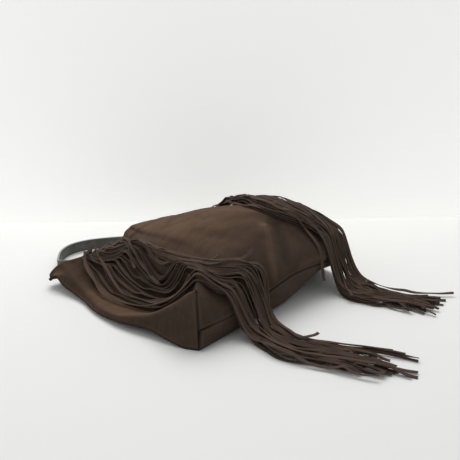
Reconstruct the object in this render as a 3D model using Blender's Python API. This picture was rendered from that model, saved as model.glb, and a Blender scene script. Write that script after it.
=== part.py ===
"""A fringed suede bag that lies on its back panel with its mouth open, as closed solids.

Metres, +Z up. +Y runs from the base of the bag to its mouth and +X across its width. The origin is
the middle of the flat face of the back panel, which rests on the table.

The bag is a lofted shell. Its shape is a set of feature lines (seams, folds and crests) that each run
from the mouth to the base, and a smooth curve is carried across them. A panel is the loft of a few
neighbouring lines with the thickness of the suede. The fringes are one solid each: a bundle of
strands that lies over the bag and goes down to the table.
"""
import math

import bpy
import numpy as np
from mathutils import Vector
from mathutils.bvhtree import BVHTree

# Driving dimensions
SUEDE = 0.0018            # thickness of a panel
FACING_LEATHER = 0.0014   # thickness of the band inside the mouth
FACING_WIDTH = 0.032
STRAP_WIDTH = 0.019
STRAP_THICK = 0.0032
BUNDLE_THICK = 0.009      # height of a bundle of strands
LAYER_GAP = 0.0005        # between pieces that lie on each other
SEAM_INSET = 0.0031       # from a panel's edge to the seam line, where panels meet at right angles
FLAP_INSET = 0.0062       # the same where the near gusset lies almost flat on the back panel
UNDER_FLAP_INSET = 0.0085 # and of the back panel below it
BASE_SEAM_INSET = 0.0009  # at the centre seam of the base, where the panels run on straight

# Feature lines, each from the mouth to the base edge. Those of the front and the back panel go on
# round the base edge to the centre seam of the base, two points further.
NEAR_HEM = [(-.178, .170, .018), (-.178, .130, .014), (-.180, .080, .006), (-.194, .025, .005),
            (-.198, -.030, .009), (-.191, -.080, .012), (-.187, -.118, .006), (-.180, -.145, 0),
            (-.171, -.164, 0), (-.172, -.168, .018), (-.172, -.168, .036)]
NEAR_ROLL = [(-.156, .166, .032), (-.160, .125, .024), (-.166, .075, .016), (-.184, .022, .014),
             (-.188, -.030, .018), (-.178, -.075, .028), (-.175, -.112, .049), (-.173, -.140, .068),
             (-.173, -.162, .082)]
NEAR_VALLEY = [(-.115, .147, .042), (-.122, .110, .029), (-.132, .065, .016), (-.145, .015, .013),
               (-.145, -.032, .016), (-.138, -.072, .025), (-.142, -.105, .045), (-.155, -.135, .070),
               (-.170, -.161, .0835)]
NEAR_WALL = [(-.085, .130, .052), (-.098, .100, .045), (-.108, .062, .038), (-.112, .015, .038),
             (-.113, -.030, .040), (-.116, -.070, .046), (-.128, -.103, .058), (-.147, -.132, .075),
             (-.166, -.160, .0845)]
NEAR_EDGE = [(-.060, .116, .064), (-.073, .090, .069), (-.091, .055, .074), (-.103, .012, .078),
             (-.111, -.028, .080), (-.119, -.065, .082), (-.128, -.100, .084), (-.141, -.130, .086),
             (-.160, -.158, .085), (-.171, -.166, .062), (-.172, -.168, .036)]
FRONT_NEAR = [(-.036, .114, .081), (-.044, .088, .088), (-.052, .055, .096), (-.058, .012, .104),
              (-.062, -.028, .109), (-.066, -.068, .109), (-.070, -.105, .103), (-.072, -.134, .094),
              (-.074, -.157, .080), (-.074, -.168, .060), (-.074, -.171, .037)]
FRONT_CROWN = [(.030, .118, .078), (.030, .090, .089), (.024, .055, .103), (.020, .012, .117),
               (.018, -.028, .125), (.018, -.068, .127), (.020, -.105, .118), (.022, -.136, .103),
               (.022, -.159, .086), (.022, -.169, .072), (.022, -.171, .055)]
FRONT_FAR = [(.100, .125, .068), (.100, .093, .078), (.096, .055, .094), (.095, .010, .109),
             (.095, -.030, .119), (.097, -.068, .120), (.100, -.105, .112), (.104, -.136, .098),
             (.108, -.158, .080), (.107, -.165, .066), (.106, -.166, .050)]
FAR_EDGE = [(.152, .137, .045), (.154, .100, .062), (.152, .055, .082), (.152, .010, .096),
            (.155, -.030, .103), (.158, -.068, .103), (.162, -.105, .096), (.166, -.134, .086),
            (.169, -.155, .074), (.170, -.160, .062), (.170, -.161, .048)]
FAR_VALLEY = [(.169, .150, .028), (.171, .105, .035), (.170, .055, .042), (.170, .010, .046),
              (.171, -.030, .048), (.173, -.068, .048), (.175, -.105, .048), (.176, -.135, .050),
              (.173, -.155, .054)]
FAR_HEM = [(.178, .162, .010), (.183, .110, 0), (.185, .055, 0), (.186, .010, 0), (.187, -.030, 0),
           (.187, -.066, .001), (.186, -.098, .006), (.182, -.128, .016), (.173, -.150, .030),
           (.171, -.158, .038), (.170, -.161, .048)]
BACK_NEAR = [(-.080, .172, .001), (-.080, .125, 0), (-.080, .080, 0), (-.080, .025, 0),
             (-.080, -.030, 0), (-.080, -.075, 0), (-.080, -.110, 0), (-.078, -.136, 0),
             (-.076, -.158, .003), (-.075, -.167, .018), (-.074, -.171, .037)]
BACK_MID = [(.020, .170, 0), (.020, .125, 0), (.020, .080, 0), (.020, .025, 0), (.020, -.030, 0),
            (.020, -.070, 0), (.020, -.105, 0), (.021, -.132, .001), (.022, -.155, .008),
            (.022, -.166, .030), (.022, -.171, .055)]
BACK_FAR = [(.105, .166, 0), (.105, .115, 0), (.105, .065, 0), (.105, .012, 0), (.105, -.030, 0),
            (.105, -.066, 0), (.105, -.096, .003), (.106, -.124, .013), (.107, -.150, .030),
            (.106, -.161, .040), (.106, -.166, .050)]

# The middle of each bundle of strands on plan, from its seam at the mouth to the ends, with its width
NEAR_BUNDLE = [(-.110, .134, .096), (-.118, .098, .096), (-.126, .050, .082), (-.131, .000, .066),
               (-.134, -.050, .058), (-.128, -.095, .056), (-.112, -.135, .060), (-.086, -.165, .070),
               (-.078, -.192, .064), (-.079, -.222, .054), (-.077, -.260, .052), (-.072, -.300, .056),
               (-.058, -.350, .058), (-.044, -.400, .058), (-.040, -.432, .044)]
FAR_BUNDLE = [(.154, .128, .034), (.146, .095, .052), (.138, .050, .066), (.136, .000, .070),
              (.140, -.050, .070), (.146, -.100, .064), (.152, -.145, .056), (.158, -.190, .052),
              (.164, -.240, .054), (.172, -.290, .056), (.184, -.340, .064), (.198, -.385, .050)]

# The middle of each strap from end to end, with the angle of its width to the level (90: on edge)
BACK_STRAP = [(-.102, .118, .0090, 0), (-.104, .146, .0118, 0), (-.112, .170, .0164, 14),
              (-.124, .191, .0150, 58), (-.1255, .208, .0112, 86), (-.114, .225, .0104, 90),
              (-.091, .247, .0104, 90), (-.062, .259, .0104, 90), (-.028, .255, .0104, 90),
              (.008, .236, .0104, 90), (.040, .213, .0104, 90), (.066, .198, .0104, 84),
              (.084, .182, .0112, 58), (.092, .162, .0092, 16), (.094, .140, .0072, 0),
              (.094, .118, .0068, 0)]
FRONT_STRAP = [(-.014, .084, .0795, 0), (-.014, .106, .0740, 0), (-.013, .128, .0670, 10),
               (-.010, .148, .0565, 34), (-.003, .168, .0430, 64), (.010, .184, .0300, 84),
               (.030, .191, .0240, 90), (.050, .184, .0265, 86), (.066, .170, .0380, 66),
               (.078, .152, .0520, 36), (.084, .131, .0615, 10), (.086, .110, .0665, 0),
               (.086, .088, .0715, 0)]

SUEDE_BROWN = (0.058, 0.038, 0.027)
FRINGE_BROWN = (0.040, 0.026, 0.020)
STRAP_GREY = (0.060, 0.066, 0.058)
FACING_BROWN = (0.050, 0.034, 0.025)


def clear_scene():
    """Take every object out of the scene."""
    for old in list(bpy.data.objects):
        bpy.data.objects.remove(old, do_unlink=True)


def finish_material(name, colour, roughness):
    """A plain material with a colour and a roughness."""
    material = bpy.data.materials.new(name)
    material.use_nodes = True
    shader = material.node_tree.nodes["Principled BSDF"]
    shader.inputs["Base Color"].default_value = (*colour, 1)
    shader.inputs["Roughness"].default_value = roughness
    return material


def smooth_curve(points, count):
    """A Catmull-Rom curve through the points, read at count even places along its parameter."""
    p = np.asarray(points, float)
    p = np.concatenate([[2 * p[0] - p[1]], p, [2 * p[-1] - p[-2]]])
    t = np.linspace(0, len(p) - 3 - 1e-9, count)
    i = t.astype(int)
    f = (t - i).reshape((-1,) + (1,) * (p.ndim - 1))
    a, b, c, d = p[i], p[i + 1], p[i + 2], p[i + 3]
    return (2 * b + (c - a) * f + (2 * a - 5 * b + 4 * c - d) * f ** 2
            + (3 * b - a - 3 * c + d) * f ** 3) / 2


def loft(lines, along, across):
    """The smooth surface through feature lines, as an array of rows along by points across."""
    rows = smooth_curve(np.swapaxes(np.array(lines, float), 0, 1), along)
    surface = np.swapaxes(smooth_curve(np.swapaxes(rows, 0, 1), across), 0, 1)
    surface[:, :, 2] = np.maximum(surface[:, :, 2], 0)
    return surface


def drawn_in(grid, first_row, last_row, first_column, last_column):
    """The grid with its four borders moved inwards by these lengths."""
    grid = grid.copy()
    for border, beside, inset in ((grid[:, 0], grid[:, 1], first_column),
                                  (grid[:, -1], grid[:, -2], last_column),
                                  (grid[0], grid[1], first_row),
                                  (grid[-1], grid[-2], last_row)):
        step = beside - border
        length = np.linalg.norm(step, axis=1, keepdims=True)
        border += step / np.maximum(length, 1e-9) * np.minimum(inset, length * 0.8)
    return grid


def grid_faces(rows, columns):
    """The quads of a grid, facing outwards: across the lines is to the left, seen along them."""
    return [(r * columns + c, (r + 1) * columns + c, (r + 1) * columns + c + 1, r * columns + c + 1)
            for r in range(rows - 1) for c in range(columns - 1)]


def mesh_object(name, points, faces, material):
    """An object with this mesh, in the scene, shaded smooth up to its sharp edges."""
    mesh = bpy.data.meshes.new(name)
    mesh.from_pydata([tuple(p) for p in points], [], faces)
    mesh.materials.append(material)
    mesh.shade_smooth()
    mesh.set_sharp_from_angle(angle=math.radians(50))
    thing = bpy.data.objects.new(name, mesh)
    bpy.context.collection.objects.link(thing)
    return thing


def shell(name, grid, thickness, material):
    """A panel: the grid is its outer face, and its thickness goes inwards."""
    rows, columns, _ = grid.shape
    panel = mesh_object(name, grid.reshape(-1, 3), grid_faces(rows, columns), material)
    wall = panel.modifiers.new("suede", "SOLIDIFY")
    wall.thickness = thickness
    wall.offset = -1
    return panel


def normals_of(grid):
    """The unit normal at each point of a grid, on the side that its faces have outwards."""
    down = np.gradient(grid, axis=0)
    right = np.gradient(grid, axis=1)
    normal = np.cross(down, right)
    return normal / np.linalg.norm(normal, axis=2, keepdims=True)


def facing_band(name, panel_grid, material, first_column, last_column):
    """A band inside the mouth: the panel's first rows, below its inner face."""
    down = np.linalg.norm(np.diff(panel_grid, axis=0), axis=2).mean(axis=1).cumsum()
    rows = int(np.searchsorted(down, FACING_WIDTH)) + 2
    inner = panel_grid - normals_of(panel_grid) * (SUEDE + LAYER_GAP)
    band = inner[:rows, first_column:last_column]
    return shell(name, band, FACING_LEATHER, material)


def tube_faces(rings, corners):
    """The quads round a chain of rings, and the polygon that closes each end."""
    faces = []
    for r in range(rings - 1):
        for c in range(corners):
            beside = (c + 1) % corners
            faces.append((r * corners + c, (r + 1) * corners + c, (r + 1) * corners + beside,
                          r * corners + beside))
    faces.append(tuple(range(corners)))
    faces.append(tuple(range(rings * corners - 1, (rings - 1) * corners - 1, -1)))
    return faces


def strap(name, route, material, count=44):
    """A flat leather strap along its route, turned about the route by each point's angle."""
    line = smooth_curve(route, count)
    middle, lean = line[:, :3], np.radians(line[:, 3:])
    run = np.gradient(middle, axis=0)
    run /= np.linalg.norm(run, axis=1, keepdims=True)
    level = np.cross(run, (0, 0, 1))
    level /= np.linalg.norm(level, axis=1, keepdims=True)
    rise = np.cross(level, run)
    wide = level * np.cos(lean) + rise * np.sin(lean)
    thick = np.cross(wide, run)
    corners = [(-1, -1), (1, -1), (1, 1), (-1, 1)]
    rings = np.stack([middle + wide * (w * STRAP_WIDTH / 2) + thick * (t * STRAP_THICK / 2)
                      for w, t in corners], axis=1)
    return mesh_object(name, rings.reshape(-1, 3), tube_faces(count, len(corners)), material)


def top_of(trees, x, y):
    """The height of the highest surface at a place on plan, or of the table."""
    best = 0.0
    for tree in trees:
        hit = tree.ray_cast(Vector((x, y, 0.5)), Vector((0, 0, -1)))[0]
        if hit is not None:
            best = max(best, hit.z)
    return best


def fringe_bundle(name, route, trees, material, along=52, across=7):
    """A bundle of strands: it lies over what is below it, spans the hollows and reaches the table."""
    clearance, reach, sag = 0.0035, 0.012, 0.0011
    line = smooth_curve(route, along)
    run = np.gradient(line[:, :2], axis=0)
    run /= np.linalg.norm(run, axis=1, keepdims=True)
    side = np.stack([-run[:, 1], run[:, 0]], axis=1)
    place = np.linspace(-0.5, 0.5, across)
    plan = line[:, None, :2] + side[:, None] * (place[None, :, None] * line[:, None, 2:3])
    around = [(0, 0), (reach, 0), (-reach, 0), (0, reach), (0, -reach)]
    height = np.array([[max(top_of(trees, x + dx, y + dy) for dx, dy in around) for x, y in row]
                       for row in plan])
    for _ in range(120):
        middle = (height[:-2] + height[2:]) / 2 - sag
        height[1:-1] = np.maximum(height[1:-1], middle)
    height = np.where(height > 0.0005, height + clearance, 0.0)
    crown = np.sqrt(np.clip(1 - (2 * place) ** 2, 0, 1)) * 0.55 + 0.45
    lower = np.concatenate([plan, height[:, :, None]], axis=2)
    upper = np.concatenate([plan, (height + BUNDLE_THICK * crown)[:, :, None]], axis=2)
    rings = np.concatenate([upper, lower[:, ::-1]], axis=1)
    return mesh_object(name, rings.reshape(-1, 3), tube_faces(along, 2 * across), material)


def tree_of(thing):
    """The shape of an object with its modifiers, for finding what lies below a point."""
    return BVHTree.FromObject(thing, bpy.context.evaluated_depsgraph_get())


def build():
    """Make every piece of the bag."""
    clear_scene()
    suede = finish_material("brown_suede", SUEDE_BROWN, 0.95)
    strands = finish_material("fringe_suede", FRINGE_BROWN, 0.9)
    leather = finish_material("strap_leather", STRAP_GREY, 0.45)
    lining = finish_material("facing_leather", FACING_BROWN, 0.7)

    front = loft([NEAR_EDGE, FRONT_NEAR, FRONT_CROWN, FRONT_FAR, FAR_EDGE], 30, 21)
    back = loft([FAR_HEM, BACK_FAR, BACK_MID, BACK_NEAR, NEAR_HEM], 26, 13)
    near = loft([NEAR_HEM[:9], NEAR_ROLL, NEAR_VALLEY, NEAR_WALL, NEAR_EDGE[:9]], 25, 17)
    far = loft([FAR_EDGE[:9], FAR_VALLEY, FAR_HEM[:9]], 19, 9)

    front = drawn_in(front, 0, BASE_SEAM_INSET, SEAM_INSET, SEAM_INSET)
    back = drawn_in(back, 0, BASE_SEAM_INSET, SEAM_INSET, UNDER_FLAP_INSET)
    panels = [
        shell("front_panel", front, SUEDE, suede),
        shell("back_panel", back, SUEDE, suede),
        shell("near_gusset", drawn_in(near, 0, SEAM_INSET, FLAP_INSET, SEAM_INSET), SUEDE, suede),
        shell("far_gusset", drawn_in(far, 0, SEAM_INSET, SEAM_INSET, SEAM_INSET), SUEDE, suede),
    ]
    facing_band("front_facing", front, lining, 2, -2)
    facing_band("back_facing", back, lining, 1, -2)
    strap("front_handle", FRONT_STRAP, leather)
    strap("back_handle", BACK_STRAP, leather)
    trees = [tree_of(panel) for panel in panels]
    fringe_bundle("near_fringe", NEAR_BUNDLE, trees, strands)
    fringe_bundle("far_fringe", FAR_BUNDLE, trees, strands)


build()
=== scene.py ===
"""The looks of a fringed suede bag that lies on its back panel, its mouth away from the camera.

The bag is a lofted shell: feature lines (seams, folds and crests) run from the mouth to the base, a
smooth curve is carried across them, and folds, creases and the rolled seams are added along the
shell's normals. Each fringe is cut from one strip of suede. Its strands are laid one after another:
each follows its own way over the bag, rests on what already lies there and hangs across hollows.
"""
import math

import bpy
import numpy as np
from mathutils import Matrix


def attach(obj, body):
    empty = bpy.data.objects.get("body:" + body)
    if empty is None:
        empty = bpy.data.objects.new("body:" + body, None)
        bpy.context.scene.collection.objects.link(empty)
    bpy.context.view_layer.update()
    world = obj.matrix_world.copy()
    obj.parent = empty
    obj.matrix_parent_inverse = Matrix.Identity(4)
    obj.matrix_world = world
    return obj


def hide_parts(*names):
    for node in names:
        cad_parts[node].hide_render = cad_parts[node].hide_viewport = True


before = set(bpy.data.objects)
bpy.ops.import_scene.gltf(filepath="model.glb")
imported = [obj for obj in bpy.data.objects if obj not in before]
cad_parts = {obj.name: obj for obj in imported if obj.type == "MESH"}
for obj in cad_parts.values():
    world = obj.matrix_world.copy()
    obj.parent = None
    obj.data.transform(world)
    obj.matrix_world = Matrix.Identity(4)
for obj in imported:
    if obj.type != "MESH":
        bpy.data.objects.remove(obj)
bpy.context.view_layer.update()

# Thicknesses and widths, in metres
SUEDE = 0.0016
FACING_LEATHER = 0.0013
FACING_WIDTH = 0.030
STRAP_WIDTH = 0.019
STRAP_THICK = 0.0034
STRAND_WIDTH = 0.0050
STRAND_THICK = 0.0014

# Feature lines, each from the mouth to the base edge. Those of the front and the back panel go on
# round the base edge to the centre seam of the base, two points further.
NEAR_HEM = [(-.178, .170, .018), (-.178, .130, .014), (-.180, .080, .006), (-.194, .025, .005),
            (-.198, -.030, .009), (-.191, -.080, .012), (-.187, -.118, .006), (-.180, -.145, 0),
            (-.171, -.164, 0), (-.172, -.168, .018), (-.172, -.168, .031)]
NEAR_ROLL = [(-.156, .166, .032), (-.160, .125, .024), (-.166, .075, .016), (-.184, .022, .014),
             (-.188, -.030, .018), (-.178, -.075, .028), (-.175, -.112, .049), (-.173, -.140, .068),
             (-.173, -.162, .082)]
NEAR_VALLEY = [(-.115, .147, .042), (-.122, .110, .029), (-.132, .065, .016), (-.145, .015, .013),
               (-.145, -.032, .016), (-.138, -.072, .025), (-.142, -.105, .045), (-.155, -.135, .070),
               (-.170, -.161, .0825)]
NEAR_WALL = [(-.085, .130, .052), (-.098, .100, .045), (-.108, .062, .038), (-.112, .015, .038),
             (-.113, -.030, .040), (-.116, -.070, .046), (-.128, -.103, .058), (-.147, -.132, .075),
             (-.1685, -.160, .0820)]
NEAR_EDGE = [(-.061, .118, .069), (-.073, .090, .069), (-.091, .055, .074), (-.103, .012, .078),
             (-.111, -.028, .080), (-.119, -.065, .082), (-.128, -.100, .084), (-.141, -.130, .086),
             (-.167, -.159, .081), (-.172, -.166, .060), (-.172, -.168, .031)]
FRONT_DENT = [(-.050, .117, .0780), (-.059, .090, .080), (-.072, .055, .086), (-.081, .012, .092),
              (-.087, -.028, .096), (-.093, -.067, .097), (-.099, -.102, .093), (-.109, -.126, .082),
              (-.120, -.147, .066), (-.123, -.163, .050), (-.123, -.171, .033)]
FRONT_NEAR = [(-.036, .114, .084), (-.044, .088, .088), (-.052, .055, .096), (-.058, .012, .104),
              (-.062, -.028, .109), (-.066, -.068, .109), (-.070, -.105, .103), (-.072, -.134, .094),
              (-.074, -.157, .080), (-.074, -.168, .060), (-.074, -.171, .037)]
FRONT_CROWN = [(.030, .118, .078), (.030, .090, .089), (.024, .055, .103), (.020, .012, .117),
               (.018, -.028, .125), (.018, -.068, .127), (.020, -.105, .118), (.022, -.136, .103),
               (.022, -.159, .086), (.022, -.169, .072), (.022, -.171, .055)]
FRONT_FAR = [(.100, .125, .068), (.100, .093, .078), (.096, .055, .094), (.095, .010, .109),
             (.095, -.030, .119), (.097, -.068, .120), (.100, -.105, .112), (.104, -.136, .098),
             (.108, -.158, .080), (.107, -.165, .066), (.106, -.166, .050)]
FAR_EDGE = [(.152, .137, .045), (.154, .100, .062), (.152, .055, .082), (.152, .010, .096),
            (.155, -.030, .103), (.158, -.068, .103), (.162, -.105, .096), (.166, -.134, .086),
            (.169, -.155, .074), (.170, -.160, .062), (.170, -.161, .048)]
FAR_VALLEY = [(.169, .150, .028), (.171, .105, .035), (.170, .055, .042), (.170, .010, .046),
              (.171, -.030, .048), (.173, -.068, .048), (.175, -.105, .048), (.176, -.135, .050),
              (.173, -.155, .054)]
FAR_HEM = [(.178, .162, .010), (.183, .110, 0), (.185, .055, 0), (.186, .010, 0), (.187, -.030, 0),
           (.187, -.066, .001), (.186, -.098, .006), (.182, -.128, .016), (.173, -.150, .030),
           (.171, -.158, .038), (.170, -.161, .048)]
BACK_NEAR = [(-.080, .172, .001), (-.080, .125, 0), (-.080, .080, 0), (-.080, .025, 0),
             (-.080, -.030, 0), (-.080, -.075, 0), (-.080, -.110, 0), (-.078, -.136, 0),
             (-.076, -.158, .003), (-.075, -.167, .018), (-.074, -.171, .037)]
BACK_MID = [(.020, .170, 0), (.020, .125, 0), (.020, .080, 0), (.020, .025, 0), (.020, -.030, 0),
            (.020, -.070, 0), (.020, -.105, 0), (.021, -.132, .001), (.022, -.155, .008),
            (.022, -.166, .030), (.022, -.171, .055)]
BACK_FAR = [(.105, .166, 0), (.105, .115, 0), (.105, .065, 0), (.105, .012, 0), (.105, -.030, 0),
            (.105, -.066, 0), (.105, -.096, .003), (.106, -.124, .013), (.107, -.150, .030),
            (.106, -.161, .040), (.106, -.166, .050)]

# The middle of each strap from end to end, with the angle of its width to the level (90: on edge)
BACK_STRAP = [(-.102, .118, .0090, 0), (-.104, .146, .0118, 0), (-.112, .170, .0164, 14),
              (-.124, .191, .0150, 58), (-.1255, .208, .0112, 86), (-.114, .225, .0104, 90),
              (-.091, .247, .0104, 90), (-.062, .259, .0104, 90), (-.028, .255, .0104, 90),
              (.008, .236, .0104, 90), (.040, .213, .0104, 90), (.066, .198, .0104, 84),
              (.084, .182, .0112, 58), (.092, .162, .0092, 16), (.094, .140, .0072, 0),
              (.094, .118, .0068, 0)]
FRONT_STRAP = [(-.014, .084, .0795, 0), (-.014, .106, .0740, 0), (-.013, .128, .0670, 10),
               (-.010, .148, .0565, 34), (-.003, .168, .0430, 64), (.010, .184, .0300, 84),
               (.030, .191, .0240, 90), (.050, .184, .0265, 86), (.066, .170, .0380, 66),
               (.078, .152, .0520, 36), (.084, .131, .0615, 10), (.086, .110, .0665, 0),
               (.086, .088, .0715, 0)]

# Where each fringe lies on plan: its two outer strands, from the seam at the mouth to the ends
NEAR_LOW_SIDE = [(-.123, .150), (-.136, .122), (-.150, .088), (-.159, .052), (-.160, .015),
                 (-.157, -.022), (-.152, -.060), (-.151, -.095), (-.148, -.125), (-.134, -.146),
                 (-.114, -.161), (-.105, -.179), (-.103, -.201), (-.107, -.228), (-.112, -.252),
                 (-.109, -.280), (-.099, -.308), (-.087, -.350), (-.074, -.395), (-.055, -.446)]
NEAR_HIGH_SIDE = [(-.086, .078), (-.088, .064), (-.091, .046), (-.098, .018), (-.108, -.010),
                  (-.114, -.040), (-.119, -.070), (-.119, -.098), (-.109, -.122), (-.090, -.141),
                  (-.065, -.155), (-.049, -.165), (-.044, -.174), (-.051, -.189), (-.055, -.222),
                  (-.057, -.259), (-.045, -.290), (-.026, -.328), (-.010, -.366), (.004, -.408)]
FAR_LOW_SIDE = [(.150, .134), (.138, .106), (.122, .072), (.100, .038), (.080, .004),
                (.064, -.034), (.058, -.068), (.066, -.098), (.080, -.117), (.095, -.132),
                (.105, -.148), (.111, -.164), (.113, -.180), (.111, -.198), (.110, -.220),
                (.115, -.246), (.122, -.272), (.130, -.302), (.131, -.328), (.126, -.354)]
FAR_HIGH_SIDE = [(.174, .156), (.170, .125), (.166, .090), (.162, .055), (.158, .020),
                 (.157, -.015), (.157, -.050), (.156, -.080), (.155, -.105), (.156, -.128),
                 (.160, -.148), (.166, -.165), (.170, -.182), (.170, -.200), (.168, -.222),
                 (.172, -.248), (.184, -.274), (.202, -.298), (.223, -.320), (.246, -.342)]

# The near fringe's seam, from the hollow of the gusset up to the side seam
NEAR_SEAM = [(-.117, .147, .0420), (-.100, .137, .0455), (-.087, .126, .0490), (-.080, .108, .0560),
             (-.082, .090, .0630), (-.087, .076, .0690)]

# Strands that go their own way: how far each stands off the others, and how far its end curls up
NEAR_STRAYS = [
    ([(-.086, .080), (-.092, .060), (-.099, .034), (-.107, -.005), (-.112, -.045), (-.113, -.080),
      (-.108, -.106), (-.099, -.119), (-.088, -.122)], .004, .007),
    ([(-.084, .122), (-.096, .085), (-.108, .040), (-.118, -.010), (-.122, -.060), (-.122, -.100),
      (-.108, -.127), (-.080, -.143), (-.057, -.148), (-.044, -.148)], .004, .008),
    ([(-.081, .105), (-.090, .075), (-.102, .030), (-.112, -.030), (-.115, -.090), (-.095, -.132),
      (-.066, -.157), (-.053, -.175), (-.052, -.198), (-.060, -.228), (-.068, -.252), (-.055, -.262),
      (-.039, -.264)], .004, .007),
    ([(-.118, .146), (-.136, .122), (-.150, .082), (-.164, .044), (-.160, -.008), (-.154, -.060),
      (-.144, -.128), (-.118, -.158), (-.108, -.185), (-.112, -.225), (-.115, -.265), (-.106, -.303),
      (-.096, -.330), (-.091, -.345), (-.086, -.366), (-.076, -.388)], .004, .001),
    ([(-.102, .137), (-.114, .112), (-.124, .083), (-.134, .056), (-.148, .015), (-.147, -.041),
      (-.144, -.085), (-.138, -.128), (-.116, -.154), (-.098, -.178), (-.094, -.205), (-.100, -.240),
      (-.098, -.285), (-.082, -.330), (-.060, -.372)], .004, .001),
    ([(-.086, .084), (-.093, .072), (-.101, .056), (-.110, .040), (-.118, .024)], .009, .001),
    ([(-.085, .088), (-.092, .070), (-.102, .050), (-.110, .026), (-.120, -.006),
      (-.130, -.042)], .013, .001),
]
FAR_STRAYS = [
    ([(.158, .140), (.142, .121), (.121, .098), (.104, .070), (.092, .034), (.080, -.004),
      (.070, -.040)], .004, .001),
    ([(.160, .142), (.146, .104), (.128, .060), (.104, .020), (.082, -.020), (.070, -.060),
      (.068, -.094), (.078, -.112)], .004, .001),
    ([(.164, .148), (.156, .090), (.148, .030), (.144, -.030), (.138, -.080), (.128, -.120),
      (.124, -.150), (.124, -.172), (.122, -.190), (.108, -.208), (.100, -.222)], .004, .003),
    ([(.156, .138), (.140, .098), (.118, .058), (.096, .018), (.078, -.024), (.066, -.064),
      (.070, -.098), (.082, -.126), (.088, -.150), (.089, -.168), (.085, -.180)], .002, .004),
    ([(.160, .140), (.144, .096), (.124, .052), (.102, .010), (.086, -.034), (.078, -.074),
      (.084, -.110), (.098, -.142), (.106, -.168), (.108, -.196), (.110, -.222), (.118, -.246)],
     .003, .006),
    ([(.168, .146), (.160, .092), (.154, .040), (.150, -.020), (.150, -.070), (.150, -.110),
      (.158, -.150), (.166, -.185), (.172, -.230), (.188, -.272), (.208, -.300), (.228, -.322)],
     .003, .001),
]


# ---------------------------------------------------------------- curves and surfaces

def smooth_curve(points, count):
    """A Catmull-Rom curve: each stretch is the cubic that leaves a point towards the next but one."""
    p = np.asarray(points, float)
    p = np.concatenate([[2 * p[0] - p[1]], p, [2 * p[-1] - p[-2]]])
    t = np.linspace(0, len(p) - 3 - 1e-9, count)
    i = t.astype(int)
    f = (t - i).reshape((-1,) + (1,) * (p.ndim - 1))
    a, b, c, d = p[i], p[i + 1], p[i + 2], p[i + 3]
    return (2 * b + (c - a) * f + (2 * a - 5 * b + 4 * c - d) * f ** 2
            + (3 * b - a - 3 * c + d) * f ** 3) / 2


def loft(lines, along, across):
    """The surface through feature lines: smooth curves along them, then smooth curves across those."""
    rows = smooth_curve(np.swapaxes(np.array(lines, float), 0, 1), along)
    surface = np.swapaxes(smooth_curve(np.swapaxes(rows, 0, 1), across), 0, 1)
    surface[:, :, 2] = np.maximum(surface[:, :, 2], 0)
    return surface


def run_lengths(grid, axis):
    """The length from the first row (axis 0) or column (axis 1) to each point, along the surface."""
    steps = np.linalg.norm(np.diff(grid, axis=axis), axis=2)
    start = np.zeros_like(np.take(steps, [0], axis=axis))
    return np.concatenate([start, np.cumsum(steps, axis=axis)], axis=axis)


def normals_of(grid):
    """The unit cross product of the steps along and across, which points out of the bag."""
    normal = np.cross(np.gradient(grid, axis=0), np.gradient(grid, axis=1))
    return normal / np.maximum(np.linalg.norm(normal, axis=2, keepdims=True), 1e-12)


def waves(points, length, seed, count=18):
    """Soft random waves: the mean of sines along random directions, from about -1 to 1."""
    draw = np.random.default_rng(seed)
    way = draw.normal(size=(count, 3))
    way /= np.linalg.norm(way, axis=1, keepdims=True)
    pace = 2 * math.pi / (length * draw.uniform(0.7, 1.6, count))
    phase = draw.uniform(0, 2 * math.pi, count)
    return np.sin(points @ (way * pace[:, None]).T + phase).sum(axis=-1) * (1.6 / math.sqrt(count))


def distance_to(points, path):
    """How far each point is from a line of straight stretches."""
    path = np.asarray(path, float)
    best = np.full(points.shape[:-1], np.inf)
    for a, b in zip(path[:-1], path[1:]):
        t = np.clip((points - a) @ (b - a) / ((b - a) @ (b - a)), 0, 1)
        best = np.minimum(best, np.linalg.norm(points - a - t[..., None] * (b - a), axis=-1))
    return best


def bell(distance, width):
    """A bell curve: 1 on the line and near nothing two widths away."""
    return np.exp(-(distance / width) ** 2)


# ---------------------------------------------------------------- meshes

def mesh_piece(name, points, faces, material, smooth_angle=40):
    """A piece of the bag, with its place in its mesh."""
    mesh = bpy.data.meshes.new(name)
    mesh.from_pydata(np.asarray(points, float).reshape(-1, 3), [], faces)
    mesh.materials.append(material)
    mesh.shade_smooth()
    mesh.set_sharp_from_angle(angle=math.radians(smooth_angle))
    piece = bpy.data.objects.new(name, mesh)
    bpy.context.collection.objects.link(piece)
    return piece


def point_values(piece, name, values):
    """Store one number at each point of the mesh, for the material to read."""
    layer = piece.data.attributes.new(name, "FLOAT", "POINT")
    layer.data.foreach_set("value", np.asarray(values, np.float32).ravel())


def grid_faces(rows, columns):
    """The quads of a grid of points, facing along the cross product of along and across."""
    first = (np.arange(rows - 1)[:, None] * columns + np.arange(columns - 1)).ravel()
    return np.stack([first, first + columns, first + columns + 1, first + 1], axis=1).tolist()


def shell(name, grid, thickness, material, values):
    """A panel: the grid is its outer face, its thickness goes inwards, and values are stored on it."""
    rows, columns, _ = grid.shape
    panel = mesh_piece(name, grid, grid_faces(rows, columns), material)
    for label, numbers in values.items():
        point_values(panel, label, numbers)
    wall = panel.modifiers.new("thickness", "SOLIDIFY")
    wall.thickness = thickness
    wall.offset = -1
    return panel


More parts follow.
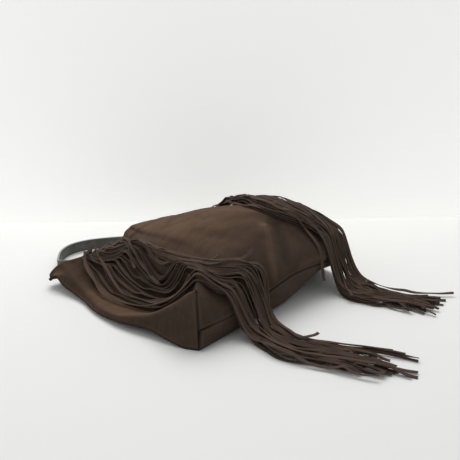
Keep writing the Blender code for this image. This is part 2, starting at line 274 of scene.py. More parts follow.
def rolled(grid, folds, seed, ripple, seam, seam_width=0.0040):
    """A panel's grid with its seams drawn in, soft ripples, and folds.

    The shift along the normal is ripple times soft waves, plus the height of each of the folds times a
    bell curve of the distance to its line, minus a bell curve of the distance to the sewn edges. It also
    returns the nearness to the sewn edges, and painted light for the material: a painted highlight along
    raised folds and painted shade in dents.
    """
    normal = normals_of(grid)
    along, across = run_lengths(grid, 0), run_lengths(grid, 1)
    sewn = np.minimum(across, across[:, -1:] - across)
    sewn = np.minimum(sewn, along[-1] - along)
    shift = ripple * (waves(grid, 0.090, seed) + 0.35 * waves(grid, 0.035, seed + 1))
    shift = shift * (1 - bell(sewn, 0.006))
    # light is painted light: a painted highlight along raised folds and painted shade in dents
    light = np.zeros(sewn.shape)
    for path, height, width in folds:
        hump = bell(distance_to(grid, path), width)
        shift = shift + height * hump
        light = light + hump * np.clip(height / 0.004, -1, 1)
    shift = shift - seam * bell(sewn, seam_width)
    out = grid + normal * shift[..., None]
    out[:, :, 2] = np.maximum(out[:, :, 2], 0)
    return out, {"edge": np.exp(-sewn / 0.004), "fold_painted_light": light}


# ---------------------------------------------------------------- materials

def shader_node(tree, kind, **values):
    """A new node; values are its properties, or its inputs by name."""
    node = tree.nodes.new(kind)
    for name, value in values.items():
        if hasattr(node, name):
            setattr(node, name, value)
        else:
            node.inputs[name.replace("_", " ")].default_value = value
    return node


def group_of(name, inputs, outputs):
    """An empty shader node group with these sockets, and its two end nodes."""
    group = bpy.data.node_groups.new(name, "ShaderNodeTree")
    for label, kind, value in inputs:
        socket = group.interface.new_socket(label, in_out="INPUT", socket_type=kind)
        if value is not None:
            socket.default_value = value
    for label, kind in outputs:
        group.interface.new_socket(label, in_out="OUTPUT", socket_type=kind)
    return group, group.nodes.new("NodeGroupInput"), group.nodes.new("NodeGroupOutput")


def nap_group():
    """Brushed suede: Patch is where the nap is stroked another way, Grain is its fine fibre."""
    group, given, out = group_of(
        "suede nap",
        [("Place", "NodeSocketVector", None), ("Patch Scale", "NodeSocketFloat", 18.0),
         ("Grain Scale", "NodeSocketFloat", 900.0)],
        [("Patch", "NodeSocketFloat"), ("Grain", "NodeSocketFloat")])
    link = group.links.new
    broad = shader_node(group, "ShaderNodeTexNoise", Detail=3.0, Roughness=0.55, Distortion=0.8)
    streak = shader_node(group, "ShaderNodeTexNoise", Detail=4.0, Roughness=0.65)
    stretch = shader_node(group, "ShaderNodeMapping")
    stretch.inputs["Scale"].default_value = (0.55, 2.2, 1.0)
    fibre = shader_node(group, "ShaderNodeTexNoise", Detail=2.0, Roughness=0.7)
    times = shader_node(group, "ShaderNodeMath", operation="MULTIPLY")
    times.inputs[1].default_value = 4.0
    both = shader_node(group, "ShaderNodeMix", data_type="FLOAT")
    both.inputs["Factor"].default_value = 0.45
    level = shader_node(group, "ShaderNodeMapRange")
    level.inputs["From Min"].default_value = 0.32
    level.inputs["From Max"].default_value = 0.68
    link(given.outputs["Place"], broad.inputs["Vector"])
    link(given.outputs["Patch Scale"], broad.inputs["Scale"])
    link(given.outputs["Place"], stretch.inputs["Vector"])
    link(stretch.outputs["Vector"], streak.inputs["Vector"])
    link(given.outputs["Patch Scale"], times.inputs[0])
    link(times.outputs[0], streak.inputs["Scale"])
    link(broad.outputs["Fac"], both.inputs["A"])
    link(streak.outputs["Fac"], both.inputs["B"])
    link(both.outputs["Result"], level.inputs["Value"])
    link(given.outputs["Place"], fibre.inputs["Vector"])
    link(given.outputs["Grain Scale"], fibre.inputs["Scale"])
    link(level.outputs["Result"], out.inputs["Patch"])
    link(fibre.outputs["Fac"], out.inputs["Grain"])
    return group


def place_group(group_tree, tree, **values):
    """A node group in a material, reading Object coordinates, with its own values."""
    node = tree.nodes.new("ShaderNodeGroup")
    node.node_tree = group_tree
    for name, value in values.items():
        node.inputs[name.replace("_", " ")].default_value = value
    where = tree.nodes.new("ShaderNodeTexCoord")
    tree.links.new(where.outputs["Object"], node.inputs["Place"])
    return node


def mixed(tree, factor, a, b, blend="MIX"):
    """A colour mix; factor, a and b are sockets or plain values."""
    node = tree.nodes.new("ShaderNodeMix")
    node.data_type = "RGBA"
    node.blend_type = blend
    for socket, value in zip((node.inputs[0], node.inputs[6], node.inputs[7]), (factor, a, b)):
        if isinstance(value, bpy.types.NodeSocket):
            tree.links.new(value, socket)
        elif isinstance(value, tuple):
            socket.default_value = (*value, 1.0)
        else:
            socket.default_value = value
    return node.outputs[2]


def reading(tree, name):
    """The number that the mesh holds under this name."""
    node = tree.nodes.new("ShaderNodeAttribute")
    node.attribute_name = name
    return node.outputs["Fac"]


def ranged(tree, value, low, high, to_low, to_high):
    """A number moved from one range to another, and held inside it."""
    node = tree.nodes.new("ShaderNodeMapRange")
    tree.links.new(value, node.inputs["Value"])
    for name, number in (("From Min", low), ("From Max", high), ("To Min", to_low), ("To Max", to_high)):
        node.inputs[name].default_value = number
    return node.outputs["Result"]


def bumped(tree, shader, height, strength, distance):
    """Bump on the shader from a height."""
    node = tree.nodes.new("ShaderNodeBump")
    node.inputs["Strength"].default_value = strength
    node.inputs["Distance"].default_value = distance
    tree.links.new(height, node.inputs["Height"])
    tree.links.new(node.outputs["Normal"], shader.inputs["Normal"])


def new_material(name, roughness, sheen=0.0, coat=0.0):
    """A material with a Principled BSDF and these plain values."""
    material = bpy.data.materials.new(name)
    material.use_nodes = True
    shader = material.node_tree.nodes["Principled BSDF"]
    shader.inputs["Roughness"].default_value = roughness
    shader.inputs["Sheen Weight"].default_value = sheen
    shader.inputs["Sheen Roughness"].default_value = 0.4
    shader.inputs["Sheen Tint"].default_value = (0.80, 0.60, 0.45, 1)
    shader.inputs["Specular IOR Level"].default_value = 0.12
    shader.inputs["Coat Weight"].default_value = coat
    return material, material.node_tree, shader


def turned_to(tree, way, low, high):
    """From 0 to 1 as the surface turns to face the given way: its normal's dot product with it."""
    where = tree.nodes.new("ShaderNodeTexCoord")
    dot = tree.nodes.new("ShaderNodeVectorMath")
    dot.operation = "DOT_PRODUCT"
    dot.inputs[1].default_value = way
    tree.links.new(where.outputs["Normal"], dot.inputs[0])
    return ranged(tree, dot.outputs["Value"], low, high, 0.0, 1.0)


# Painted light and shade: a face turned this way, up and towards the mouth, is painted lighter, and faces
# turned less this way darker
PAINTED_LIGHT_WAY = (0.05, 0.40, 0.915)

# Linear colours of the suede: painted shade for faces turned away from that way and square to it, painted
# light for faces turned to it, then a painted highlight on raised folds, painted shade in dents, a
# painted highlight on the welt beside a seam, and the seam itself
SUEDE_PAINTED_SHADE_AWAY = (0.050, 0.0335, 0.0240)
SUEDE_PAINTED_SHADE_SQUARE = (0.037, 0.0230, 0.0160)
SUEDE_PAINTED_LIGHT = (0.080, 0.0475, 0.0285)
SUEDE_FOLD_HIGHLIGHT = (0.112, 0.072, 0.046)
SUEDE_DENT_SHADE = (0.018, 0.013, 0.010)
SUEDE_WELT_HIGHLIGHT = (0.095, 0.062, 0.042)
SUEDE_SEAM = (0.022, 0.015, 0.011)

# The same for the strands: the darkest and the lightest strand, worn places, and the cut sides
STRAND_DARK = (0.011, 0.0074, 0.0064)
STRAND_LIGHT = (0.054, 0.0310, 0.0235)
STRAND_WORN = (0.068, 0.042, 0.029)
STRAND_CUT = (0.115, 0.084, 0.064)


def suede_material(nap):
    """Dark brown suede with painted light and shade: faces turned up and towards the mouth are painted
    lighter.

    It is lighter or darker in patches where the nap is stroked another way. It has a painted highlight,
    lighter and redder, along the raised folds and on the welt beside each seam, painted shade in dents,
    and is darker at the seams.
    """
    material, tree, shader = new_material("brown suede", 0.92, sheen=0.03)
    fibre = place_group(nap, tree, Patch_Scale=13.0, Grain_Scale=1000.0)
    # Painted light and shade by the way each face is turned, lightest turned up and towards the mouth
    colour = mixed(tree, turned_to(tree, PAINTED_LIGHT_WAY, -0.3, 0.6), SUEDE_PAINTED_SHADE_AWAY, SUEDE_PAINTED_SHADE_SQUARE)
    colour = mixed(tree, turned_to(tree, PAINTED_LIGHT_WAY, 0.66, 0.95), colour, SUEDE_PAINTED_LIGHT)
    stroked = ranged(tree, fibre.outputs["Patch"], 0.0, 1.0, 0.72, 1.30)
    colour = mixed(tree, 1.0, colour, stroked, "MULTIPLY")
    # Painted highlight along raised folds, then painted shade in dents
    fold_painted_light = ranged(tree, reading(tree, "fold_painted_light"), 0.2, 1.0, 0.0, 0.40)
    colour = mixed(tree, fold_painted_light, colour, SUEDE_FOLD_HIGHLIGHT)
    dent_shade = ranged(tree, reading(tree, "fold_painted_light"), -1.0, -0.2, 0.55, 0.0)
    colour = mixed(tree, dent_shade, colour, SUEDE_DENT_SHADE)
    # Painted highlight on the welt beside each seam, then the seam itself darker
    welt_highlight = ranged(tree, reading(tree, "edge"), 0.15, 0.40, 0.0, 0.30)
    colour = mixed(tree, welt_highlight, colour, SUEDE_WELT_HIGHLIGHT)
    seam = ranged(tree, reading(tree, "edge"), 0.48, 0.95, 0.0, 0.80)
    colour = mixed(tree, seam, colour, SUEDE_SEAM)
    grain = ranged(tree, fibre.outputs["Grain"], 0.3, 0.7, 0.74, 1.24)
    tree.links.new(mixed(tree, 1.0, colour, grain, "MULTIPLY"), shader.inputs["Base Color"])
    bumped(tree, shader, fibre.outputs["Grain"], 0.35, 0.0004)
    return material


def strand_material(nap):
    """Cut strands: each has its own tone, and the cut edges are a little lighter."""
    material, tree, shader = new_material("fringe suede", 0.9, sheen=0.03)
    fibre = place_group(nap, tree, Patch_Scale=30.0, Grain_Scale=1300.0)
    colour = mixed(tree, reading(tree, "tone"), STRAND_DARK, STRAND_LIGHT)
    worn = ranged(tree, fibre.outputs["Patch"], 0.0, 1.0, 0.0, 0.35)
    colour = mixed(tree, worn, colour, STRAND_WORN)
    cut = ranged(tree, reading(tree, "side"), 0.80, 1.0, 0.0, 0.7)
    colour = mixed(tree, cut, colour, STRAND_CUT)
    grain = ranged(tree, fibre.outputs["Grain"], 0.3, 0.7, 0.75, 1.25)
    tree.links.new(mixed(tree, 1.0, colour, grain, "MULTIPLY"), shader.inputs["Base Color"])
    bumped(tree, shader, fibre.outputs["Grain"], 0.3, 0.0003)
    return material


def leather_material(name, dark, light, edge_colour, roughness):
    """Smooth leather with fine pores; its cut edge is painted another colour."""
    material, tree, shader = new_material(name, roughness, coat=0.1)
    where = tree.nodes.new("ShaderNodeTexCoord")
    pores = shader_node(tree, "ShaderNodeTexVoronoi", Scale=900.0)
    cloud = shader_node(tree, "ShaderNodeTexNoise", Scale=60.0, Detail=4.0)
    tree.links.new(where.outputs["Object"], pores.inputs["Vector"])
    tree.links.new(where.outputs["Object"], cloud.inputs["Vector"])
    tone = ranged(tree, cloud.outputs["Fac"], 0.35, 0.65, 0.0, 1.0)
    colour = mixed(tree, tone, dark, light)
    colour = mixed(tree, reading(tree, "edge"), colour, edge_colour)
    tree.links.new(colour, shader.inputs["Base Color"])
    rough = ranged(tree, cloud.outputs["Fac"], 0.3, 0.7, roughness - 0.06, roughness + 0.08)
    tree.links.new(rough, shader.inputs["Roughness"])
    bumped(tree, shader, pores.outputs["Distance"], 0.15, 0.0003)
    return material


def plain_material(name, colour, roughness):
    """One colour, for the thread and the floor."""
    material, _, shader = new_material(name, roughness)
    shader.inputs["Base Color"].default_value = (*colour, 1)
    return material


# ---------------------------------------------------------------- the bag

FRONT_FOLDS = [
    ([(-.063, .095, .070), (-.050, .088, .083), (-.025, .084, .091), (.012, .082, .094)], .0022, .007),
    ([(.024, -.112, .116), (.010, -.134, .109), (-.006, -.150, .098), (-.018, -.161, .084),
      (-.027, -.170, .066)], .0045, .0075),
    ([(.050, -.112, .114), (.036, -.136, .106), (.022, -.152, .095), (.010, -.163, .080)],
     -.0042, .011),
    ([(-.056, .122, .070), (-.062, .105, .073)], .0020, .012),
    ([(.100, -.168, .060), (.070, -.170, .066), (.035, -.171, .064)], .0025, .006),
    ([(-.030, .040, .105), (.020, .000, .119), (.050, -.045, .127)], -.0014, .016),
]
NEAR_FOLDS = [
    ([(-.174, -.148, .073), (-.175, -.112, .049), (-.179, -.075, .026), (-.187, -.035, .014)],
     .0022, .006),
    ([(-.175, -.157, .070), (-.178, -.159, .040), (-.179, -.160, .004)], .0020, .0035),
    ([(-.150, .160, .033), (-.158, .120, .020), (-.170, .070, .010)], .0016, .008),
    ([(-.140, .150, .037), (-.146, .105, .022), (-.150, .060, .012)], -.0016, .008),
]
BACK_FOLDS = [
    ([(-.165, -.168, .028), (-.120, -.170, .018), (-.060, -.169, .012)], .0016, .007),
    ([(.060, -.168, .045), (.100, -.166, .036), (.150, -.162, .038)], .0018, .006),
]


def corner_turned(grid):
    """The near corner of the mouth droops, and the hem beside it is raised.

    The shift is a bell curve of the distance to the corner, with a smaller one that blunts its point
    and another at the place beside it.
    """
    off = np.linalg.norm(grid - NEAR_HEM[0], axis=2)
    droop = bell(off, 0.018)[..., None]
    blunt = bell(off, 0.007)[..., None]
    arch = bell(np.linalg.norm(grid - (-.178, .147, .015), axis=2), 0.013)[..., None]
    return grid + droop * (-.003, .003, -.008) + blunt * (.006, -.009, .003) + arch * (.001, 0, .009)


def facing_grid(panel_grid, first, last, depth):
    """The panel's rows next to the mouth, moved inwards by depth along the normals."""
    reach = run_lengths(panel_grid, 0).mean(axis=1)
    rows = int(np.searchsorted(reach, FACING_WIDTH))
    inner = panel_grid - normals_of(panel_grid) * depth
    return inner[:rows, first:last]


def rounded_section(width, thick, bulge=0.0002, corner=0.0007):
    """A flat strap's outline: a rectangle with round corners and slightly crowned faces."""
    turn = np.radians([0, 30, 60, 90])
    w, t = width / 2 - corner, thick / 2 - corner
    outline = []
    for start, x, y in ((0, w, t), (90, -w, t), (180, -w, -t), (270, w, -t)):
        angle = turn + math.radians(start)
        outline.append(np.stack([x + corner * np.cos(angle), y + corner * np.sin(angle)], axis=1))
        if y == t and start == 0:
            outline.append(np.array([(0.0, thick / 2 + bulge)]))
        if start == 180:
            outline.append(np.array([(0.0, -thick / 2 - bulge)]))
    return np.concatenate(outline)


def frames_along(middle, lean):
    """Unit vectors at each point of a line: along it, across its width, and out of its face.

    The width starts level and square to the line, and is turned about the line by lean.
    """
    run = np.gradient(middle, axis=0)
    run /= np.maximum(np.linalg.norm(run, axis=1, keepdims=True), 1e-12)
    level = np.cross(run, (0, 0, 1))
    level /= np.maximum(np.linalg.norm(level, axis=1, keepdims=True), 1e-12)
    rise = np.cross(level, run)
    wide = level * np.cos(lean)[:, None] + rise * np.sin(lean)[:, None]
    return run, wide, np.cross(wide, run)


def swept(middle, lean, outline):
    """The outline carried along the line: one ring of points at each of its points."""
    _, wide, out = frames_along(middle, lean)
    return (middle[:, None] + wide[:, None] * outline[None, :, :1]
            + out[:, None] * outline[None, :, 1:])


def ring_faces(rings, corners, first=0):
    """Quads between neighbouring rings of a swept outline, and a polygon on each end."""
    r, c = np.meshgrid(np.arange(rings - 1), np.arange(corners), indexing="ij")
    beside = (c + 1) % corners
    quads = np.stack([r * corners + c, (r + 1) * corners + c, (r + 1) * corners + beside,
                      r * corners + beside], axis=-1).reshape(-1, 4) + first
    ends = [tuple(range(first, first + corners)),
            tuple(range(first + rings * corners - 1, first + (rings - 1) * corners - 1, -1))]
    return quads.tolist() + ends


def strap(name, node, route, material, thread):
    """A leather strap with painted edges and a row of stitches along each side of both faces."""
    line = smooth_curve(route, 150)
    middle, lean = line[:, :3], np.radians(line[:, 3])
    outline = rounded_section(STRAP_WIDTH, STRAP_THICK)
    rings = swept(middle, lean, outline)
    piece = mesh_piece(name, rings, ring_faces(len(middle), len(outline)), material, 60)
    edge = np.abs(outline[:, 0]) > STRAP_WIDTH / 2 - 0.0006
    point_values(piece, "edge", np.tile(edge.astype(float), len(middle)))
    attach(piece, "root")
    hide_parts(node)
    stitches(name + "_stitches", middle, lean, thread)
    return piece


def stitches(name, middle, lean, thread, pitch=0.0042, long=0.0030, thick=0.00045, inset=0.0026):
    """Rows of short stitches that follow a strap, a little sunk into its faces."""
    reach = np.concatenate([[0], np.cumsum(np.linalg.norm(np.diff(middle, axis=0), axis=1))])
    run, wide, out = frames_along(middle, lean)
    at = np.arange(0.006, reach[-1] - 0.006, pitch)

    def read(values):
        return np.stack([np.interp(at, reach, values[:, k]) for k in range(3)], axis=1)

    centre, run, wide, out = read(middle), read(run), read(wide), read(out)
    turn = np.radians(np.arange(0, 360, 60))
    stations = np.array([(-0.5, 0.35), (-0.3, 1.0), (0.3, 1.0), (0.5, 0.35)])
    points, faces = [], []
    for side in (-1, 1):
        for face in (-1, 1):
            seat = (centre + wide * side * (STRAP_WIDTH / 2 - inset)
                    + out * face * (STRAP_THICK / 2 + 0.0001))
            for k in range(len(at)):
                ring = [seat[k] + run[k] * (s * long) + size * thick * (
                    np.cos(turn)[:, None] * wide[k] + np.sin(turn)[:, None] * out[k])
                    for s, size in stations]
                faces += ring_faces(4, 6, first=sum(len(p) for p in points))
                points.append(np.concatenate(ring))
    piece = mesh_piece(name, np.concatenate(points), faces, thread)
    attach(piece, "root")
    return piece


# ---------------------------------------------------------------- the fringes

# The height field's cell, the step along a strand, and the points on each side of a fringe
CELL = 0.00125
STEP = 0.004
SIDE_POINTS = 240

# A pile of strands counts at most this high at the seam, and this much more further on
PILE_AT_SEAM = 0.001
PILE_GAIN = 0.008
PILE_REACH = 0.08
SETTLING_ROUNDS = 160

# The height field's lowest corner on plan, and its cells each way
FIELD_LOW = np.array((-0.24, -0.47))
FIELD_SHAPE = (400, 560)


def field_cells(x, y):
    """The cell of the height field that each place on plan is in."""
    i = np.clip(((x - FIELD_LOW[0]) / CELL).astype(int), 0, FIELD_SHAPE[0] - 1)
    j = np.clip(((y - FIELD_LOW[1]) / CELL).astype(int), 0, FIELD_SHAPE[1] - 1)
    return i, j


def height_field(grids):
    """The height of the highest surface over each cell of the plan, with the table at 0."""
    field = np.zeros(FIELD_SHAPE)
    for grid in grids:
        p = grid.reshape(-1, 3)
        np.maximum.at(field, field_cells(p[:, 0], p[:, 1]), p[:, 2])
    spread = field.copy()
    for axis in (0, 1):
        for step in (-1, 1):
            spread = np.maximum(spread, np.roll(field, step, axis=axis))
    return np.where(field > 0, field, spread)


def soft_noise(draw, count, knots):
    """A smooth random line: random values at a few knots, joined by a smooth curve."""
    return smooth_curve(draw.normal(size=(knots, 1)), count)[:, 0]


def even_steps(line, step):
    """The line again, with points an even step apart."""
    reach = np.concatenate([[0], np.cumsum(np.linalg.norm(np.diff(line, axis=0), axis=1))])
    at = np.linspace(0, reach[-1], max(3, int(round(reach[-1] / step))))
    return np.stack([np.interp(at, reach, line[:, k]) for k in range(line.shape[1])], axis=1)


def blurred(values, width):
    """Each value averaged with its neighbours under a bell of this width, ends held."""
    reach = int(3 * width)
    weight = np.exp(-0.5 * (np.arange(-reach, reach + 1) / width) ** 2)
    padded = np.concatenate([np.full(reach, values[0]), values, np.full(reach, values[-1])])
    return np.convolve(padded, weight / weight.sum(), mode="valid")


def lay(field, bare, plan, lean, sag, lift, start_height):
    """One strand laid over the field along its way on plan; the field then holds it too.

    Its height is the least that clears the field, with each point at most sag below the middle of
    its neighbours, then blurred a little, as a strand can't bend sharply. The pile under it is
    pressed down: a pile h high counts as m tanh(h / m), and m is less near the root. lean is the
    turn of its section about its own line, and lift is how far it then stands off.
    """
    run = np.gradient(plan, axis=0)
    run /= np.maximum(np.linalg.norm(run, axis=1, keepdims=True), 1e-12)
    side = np.stack([-run[:, 1], run[:, 0]], axis=1)
    turn, stand = np.abs(np.cos(lean)), np.abs(np.sin(lean))
    wide = (STRAND_WIDTH * turn + STRAND_THICK * stand) / 2
    high = (STRAND_WIDTH * stand + STRAND_THICK * turn) / 2

    def reading_of(surface):
        spots = [plan + side * (k * wide)[:, None] for k in (-0.8, -0.4, 0.0, 0.4, 0.8)]
        return np.max([surface[field_cells(s[:, 0], s[:, 1])] for s in spots], axis=0) + high

    on_bag = reading_of(bare)
    piled = np.maximum(reading_of(field) - on_bag, 0)
    most = PILE_AT_SEAM + PILE_GAIN * np.clip(np.arange(len(plan)) * STEP / PILE_REACH, 0, 1)
    floor = on_bag + most * np.tanh(piled / most)
    height = floor.copy()
    height[0] = start_height
    for _ in range(SETTLING_ROUNDS):
        middle = (height[:-2] + height[2:]) / 2 - sag[1:-1]
        height[1:-1] = np.maximum(height[1:-1], middle)
    height = np.maximum(blurred(height, 2.2), floor)
    height = blurred(height, 1.0) + lift
    steep = np.sqrt(1 + (np.gradient(height) / np.linalg.norm(np.gradient(plan, axis=0), axis=1)) ** 2)
    top = height + high * np.minimum(steep, 4.0)
    fine = even_steps(np.column_stack([plan, top, side * wide[:, None]]), CELL * 0.7)
    for k in np.linspace(-0.95, 0.95, 7):
        cells = field_cells(fine[:, 0] + fine[:, 3] * k, fine[:, 1] + fine[:, 4] * k)
        np.maximum.at(field, cells, fine[:, 2])
    return np.column_stack([plan, height])


STRAND_OUTLINE = np.array([(-0.5, 0.0), (-0.44, -0.46), (0.44, -0.46), (0.5, 0.0), (0.44, 0.46),
                           (-0.44, 0.46)]) * (STRAND_WIDTH, STRAND_THICK)


def strand_rings(line, lean):
    """A strand's rings of points along its line, with its ends cut square."""
    return swept(line, lean, STRAND_OUTLINE)


def fringe(name, node, strands, material):
    """All strands of one fringe as one piece."""
    points, faces, tone, sides = [], [], [], []
    corners = len(STRAND_OUTLINE)
    total = 0
    for line, lean, shade in strands:
        rings = strand_rings(line, lean)
        points.append(rings.reshape(-1, 3))
        faces += ring_faces(len(line), corners, first=total)
        total += rings.shape[0] * corners
        tone.append(np.full(rings.shape[0] * corners, shade))
        sides.append(np.tile(np.abs(STRAND_OUTLINE[:, 0]) / (STRAND_WIDTH / 2), rings.shape[0]))
    points = np.concatenate(points)
    points[:, 2] = np.maximum(points[:, 2], 0.0001)
    piece = mesh_piece(name, points, faces, material, 50)
    point_values(piece, "tone", np.concatenate(tone))
    point_values(piece, "side", np.concatenate(sides))
    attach(piece, "root")
    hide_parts(node)
    return piece


def root_of(seam, inward, start):
    """A strand's first points: from the seam's inner side, up and over the rim to its start."""
    below = seam + inward * 0.007 + np.array((0, 0, -0.007))
    over = (seam + inward * 0.004) * (1, 1, 0) + np.array((0, 0, (seam[2] + start[2]) / 2 + 0.001))
    return np.stack([below, over])


def one_strand(draw, field, bare, plan, seam, inward, lift=0.0, curl=0.0, darkest=0.0):
    """Lay one strand along its way on plan; curl is how far its end turns up, darkest its least tone."""
    along = np.arange(len(plan)) * STEP
    sag = draw.uniform(0.00006, 0.00050) + 0.0009 * (along > 0.30)
    lean = np.radians(26) * soft_noise(draw, len(plan), 14)
    lean += np.radians(25) * np.exp(-along / 0.02) * draw.choice((-1, 1))
    loose = lift + 0.0012 * np.maximum(soft_noise(draw, len(plan), 12) + 0.6, 0)
    loose = loose + curl * np.clip(1 - (along[-1] - along) / 0.03, 0, 1) ** 2
    rise = draw.uniform(0.0, 0.003) + 0.008 * (draw.uniform() < 0.15)
    line = lay(field, bare, plan, lean, sag, loose, seam[2] + rise)
    line = np.concatenate([root_of(seam, inward, line[0]), line])
    lean = np.concatenate([lean[[0, 0]], lean])
    both = smooth_curve(np.column_stack([line, lean]), int(len(line) * 1.3))
    return both[:, :3], both[:, 3], draw.uniform(darkest, 1)


def bundle(field, sides, rim, inward, count, locks, seed, drift, crowd, tips, strays):
    """The strands of a fringe, laid in random order between its two outer strands.

    A strand's place between the sides is its place in the seam plus soft noise, most of which it
    shares with its lock, so that locks part and strands cross. Over the bag, crowd draws the strands
    to the high side, where they sway less: place s becomes 1 - (1 - s) ** (1 + crowd). tips are the
    shortest and longest way of a strand, as shares of the whole. rim gives the seam's line. The
    strays are laid last.
    """
    draw = np.random.default_rng(seed)
    bare = field.copy()
    low, high = (smooth_curve(side, SIDE_POINTS) for side in sides)
    way = np.linspace(0, 1, SIDE_POINTS)
    ramp = way ** 0.6
    on_bag = np.interp(way, (0.00, 0.06, 0.36, 0.50), (0, 1, 1, 0))
    lock_drift = [soft_noise(draw, SIDE_POINTS, 8) for _ in range(locks)]
    lock_end = draw.uniform(0, 1, locks)
    strands = []
    for k in draw.permutation(count):
        share = (k + 0.5) / count
        lock = min(int(share * locks + draw.uniform(-0.5, 0.5)), locks - 1)
        sway = drift[0] * lock_drift[lock] + drift[1] * soft_noise(draw, SIDE_POINTS, 13)
        crowded = 1 - (1 - share) ** (1 + crowd)
        if crowd:
            sway = sway * (1 - 0.6 * on_bag)
        place = np.clip(share + (crowded - share) * on_bag + sway * ramp, -0.05, 1.05)[:, None]
        plan = low * (1 - place) + high * place
        reach = tips[0] + (tips[1] - tips[0]) * (0.55 * lock_end[lock] + 0.45 * draw.uniform(0, 1))
        plan = even_steps(plan[:int(SIDE_POINTS * reach)], STEP)
        seam = rim(share)
        plan[0] = seam[:2]
        strands.append(one_strand(draw, field, bare, plan, seam, inward))
    for route, lift, curl in strays:
        plan = even_steps(smooth_curve(route, 120), STEP)
        share = np.argmin([np.linalg.norm(rim(s)[:2] - plan[0]) for s in np.linspace(0, 1, 50)]) / 49
        strands.append(one_strand(draw, field, bare, plan, rim(share), inward, lift, curl, 0.6))
    return strands


# ---------------------------------------------------------------- build

FRONT_LINES = [NEAR_EDGE, FRONT_DENT, FRONT_NEAR, FRONT_CROWN, FRONT_FAR, FAR_EDGE]
BACK_LINES = [FAR_HEM, BACK_FAR, BACK_MID, BACK_NEAR, NEAR_HEM]
NEAR_GUSSET_LINES = [NEAR_HEM[:9], NEAR_ROLL, NEAR_VALLEY, NEAR_WALL, NEAR_EDGE[:9]]
FAR_GUSSET_LINES = [FAR_EDGE[:9], FAR_VALLEY, FAR_HEM[:9]]


def build_bag():
    """Make every piece of the bag."""
    nap = nap_group()
    suede = suede_material(nap)
    strands = strand_material(nap)
    leather = leather_material("strap leather", (0.082, 0.080, 0.072), (0.118, 0.116, 0.104),
                               (0.270, 0.275, 0.255), 0.42)
    lining = leather_material("facing leather", (0.040, 0.027, 0.020), (0.055, 0.038, 0.028),
                              (0.055, 0.038, 0.028), 0.65)
    thread = plain_material("thread", (0.075, 0.080, 0.070), 0.7)

    front = loft(FRONT_LINES, 150, 110)
    back = loft(BACK_LINES, 110, 90)
    near = loft(NEAR_GUSSET_LINES, 120, 70)
    far = loft(FAR_GUSSET_LINES, 100, 40)
    panels = {}
    for name, grid, folds, ripple, seam in (("front_panel", front, FRONT_FOLDS, 0.0006, 0.0020),
                                            ("back_panel", back, BACK_FOLDS, 0.0, 0.0008),
                                            ("near_gusset", near, NEAR_FOLDS, 0.0006, 0.0008),
                                            ("far_gusset", far, [], 0.0010, 0.0020)):
        shaped, values = rolled(corner_turned(grid), folds, len(panels), ripple, seam)
        piece = shell(name + "_suede", shaped, SUEDE, suede, values)
        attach(piece, "root")
        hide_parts(name)
        panels[name] = shaped

    for name, panel in (("front_facing", "front_panel"), ("back_facing", "back_panel")):
        band = facing_grid(panels[panel], 6, -6, SUEDE + 0.0003)
        piece = shell(name + "_leather", band, FACING_LEATHER, lining,
                      {"edge": np.zeros(band.shape[:2])})
        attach(piece, "root")
        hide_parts(name)

    strap("front_strap", "front_handle", FRONT_STRAP, leather, thread)
    strap("back_strap", "back_handle", BACK_STRAP, leather, thread)

    field = height_field([loft(FRONT_LINES, 460, 420), loft(BACK_LINES, 300, 300),
                          loft(NEAR_GUSSET_LINES, 360, 220), loft(FAR_GUSSET_LINES, 300, 120)])
    near_rim = smooth_curve(NEAR_SEAM, 100)
    far_rim = smooth_curve([FAR_EDGE[0], FAR_VALLEY[0], FAR_HEM[0]], 100)
    near_strands = bundle(field, (NEAR_LOW_SIDE, NEAR_HIGH_SIDE),
                          lambda share: near_rim[int(99 * share)], np.array((0.5, 0.86, 0)),
                          34, 9, 11, (0.12, 0.08), 5.0, (0.88, 1.0), NEAR_STRAYS)
    fringe("near_strands", "near_fringe", near_strands, strands)
    far_strands = bundle(field, (FAR_LOW_SIDE, FAR_HIGH_SIDE),
                         lambda share: far_rim[int(99 * share)], np.array((-0.4, 0.92, 0)),
                         36, 9, 23, (0.14, 0.10), 0.0, (0.84, 1.0), FAR_STRAYS)
    fringe("far_strands", "far_fringe", far_strands, strands)


# ---------------------------------------------------------------- the studio

CAMERA_AT = np.array((-0.902, -0.903, 0.53))
CAMERA_HEADING = math.radians(-47)
CAMERA_DOWN = math.radians(19)
TABLE_GAP = 0.0003
WALL_HEIGHT = 0.5

# Each light's name, place, size, power in watts, and colour
LIGHTS = [("sky_light", (0.45, 0.55, 2.1), 2.2, 40, (1.0, 0.99, 0.97)),
          ("window", (-1.5, 1.1, 1.1), 1.2, 5, (0.95, 0.98, 1.0))]


def wall_material():
    """A pale wall that glows a little on its front; its back is clear, so it hides nothing from there."""
    material, tree, shader = new_material("pale wall", 0.8)
    shader.inputs["Base Color"].default_value = (0.92, 0.92, 0.90, 1)
    shader.inputs["Emission Color"].default_value = (1, 1, 0.98, 1)
    shader.inputs["Emission Strength"].default_value = 0.25
    side = tree.nodes.new("ShaderNodeNewGeometry")
    clear = tree.nodes.new("ShaderNodeBsdfTransparent")
    either = tree.nodes.new("ShaderNodeMixShader")
    tree.links.new(side.outputs["Backfacing"], either.inputs["Fac"])
    tree.links.new(shader.outputs["BSDF"], either.inputs[1])
    tree.links.new(clear.outputs["BSDF"], either.inputs[2])
    tree.links.new(either.outputs["Shader"], tree.nodes["Material Output"].inputs["Surface"])
    return material


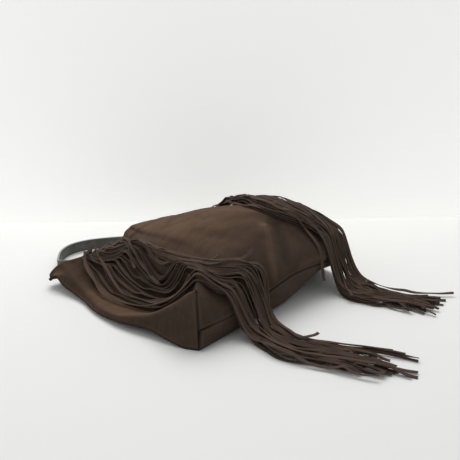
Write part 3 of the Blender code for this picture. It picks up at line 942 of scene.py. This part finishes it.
def build_studio():
    """A pale table and wall, soft light from above and behind, and the camera."""
    pale = plain_material("pale table", (0.70, 0.70, 0.69), 0.6)
    wall = wall_material()
    ahead = np.array((-math.sin(CAMERA_HEADING), math.cos(CAMERA_HEADING), 0))
    right = np.array((math.cos(CAMERA_HEADING), math.sin(CAMERA_HEADING), 0))
    below = CAMERA_AT * (1, 1, 0)
    up = np.array((0, 0, 1.0))
    left_foot = below + ahead * 1.48 - right * 2.5
    right_foot = below + ahead * 1.72 + right * 2.5
    table = below - up * TABLE_GAP
    floor = mesh_piece("table", [table - ahead * 2 - right * 3, table - ahead * 2 + right * 3,
                                 table + ahead * 4 + right * 3, table + ahead * 4 - right * 3],
                       [(0, 1, 2, 3)], pale)
    rise = up * WALL_HEIGHT
    backdrop = mesh_piece("backdrop", [left_foot, right_foot, right_foot + rise, left_foot + rise],
                          [(0, 1, 2, 3)], wall)
    backdrop.visible_shadow = False

    world = bpy.data.worlds.new("studio")
    bpy.context.scene.world = world
    world.use_nodes = True
    sky = world.node_tree.nodes["Background"].inputs
    sky["Color"].default_value = (0.97, 0.985, 1.0, 1)
    sky["Strength"].default_value = 0.57
    for name, at, size, power, colour in LIGHTS:
        data = bpy.data.lights.new(name, "AREA")
        data.shape = "DISK"
        data.size = size
        data.energy = power
        data.color = colour
        light = bpy.data.objects.new(name, data)
        bpy.context.collection.objects.link(light)
        light.location = at
        aim = np.array((0.0, 0.0, 0.05)) - np.array(at)
        light.rotation_euler = (math.atan2(math.hypot(aim[0], aim[1]), -aim[2]), 0,
                                math.atan2(-aim[0], aim[1]))

    camera = bpy.data.cameras.new("camera")
    camera.sensor_width = 36
    camera.lens = 67.15
    eye = bpy.data.objects.new("camera", camera)
    bpy.context.collection.objects.link(eye)
    eye.location = CAMERA_AT
    eye.rotation_euler = (math.pi / 2 - CAMERA_DOWN, 0, CAMERA_HEADING)
    bpy.context.scene.camera = eye
    bpy.context.scene.view_settings.view_transform = "Standard"


build_bag()
build_studio()
